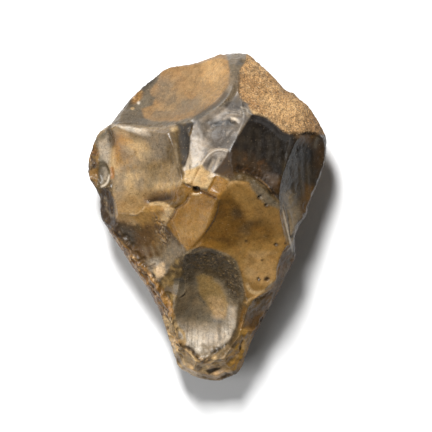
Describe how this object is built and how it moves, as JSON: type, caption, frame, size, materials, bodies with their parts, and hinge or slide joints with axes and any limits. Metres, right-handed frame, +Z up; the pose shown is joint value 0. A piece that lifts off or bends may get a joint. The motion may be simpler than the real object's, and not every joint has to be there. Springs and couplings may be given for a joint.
{
  "type": "stone hand axe",
  "caption": "Pointed flint hand axe flaked on both faces, with a sharp edge all round, a narrow blunt tip and a thick rounded butt that keeps a patch of rough cortex.",
  "frame": {"origin": "on the ground below the middle of the axe as it lies on its lower face", "axes": "+Z up through the thickness, +Y towards the butt and -Y towards the tip, +X across the blade"},
  "size_m": [0.098, 0.135, 0.05],
  "materials": {
    "flint": "knapped flint, mottled from honey brown to black-grey, glossy on the flake scars, dull and grainy on the cortex"
  },
  "bodies": {
    "root": {"hand_axe": "flint"}
  },
  "joints": []
}
